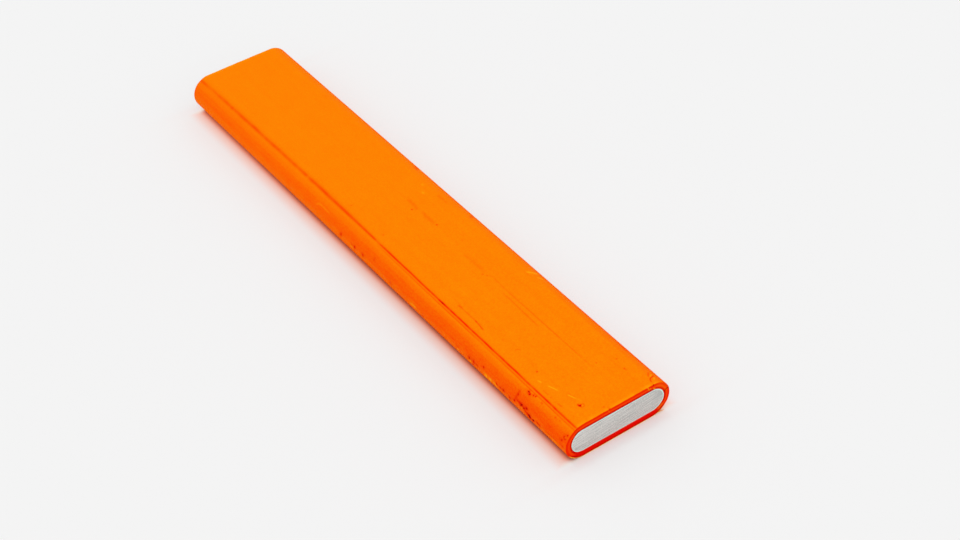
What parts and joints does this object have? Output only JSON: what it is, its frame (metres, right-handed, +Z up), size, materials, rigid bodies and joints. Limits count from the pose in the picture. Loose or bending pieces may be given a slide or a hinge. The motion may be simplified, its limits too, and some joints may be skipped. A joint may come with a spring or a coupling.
{
  "type": "insulated busbar",
  "caption": "Short cut length of rigid insulated busbar: a flat metal bar with rounded edges inside an extruded orange jacket, sawn flush at both ends.",
  "frame": {"origin": "middle of the bottom flat face, which the bar rests on", "axes": "+X along the bar, +Y across its width, +Z up through its thickness"},
  "size_m": [0.12, 0.0214, 0.0074],
  "materials": {
    "conductor_metal": "sawn, bare",
    "jacket_plastic": "extruded, matt satin"
  },
  "bodies": {
    "root": {"conductor": "conductor_metal", "insulation": "jacket_plastic"}
  },
  "joints": []
}
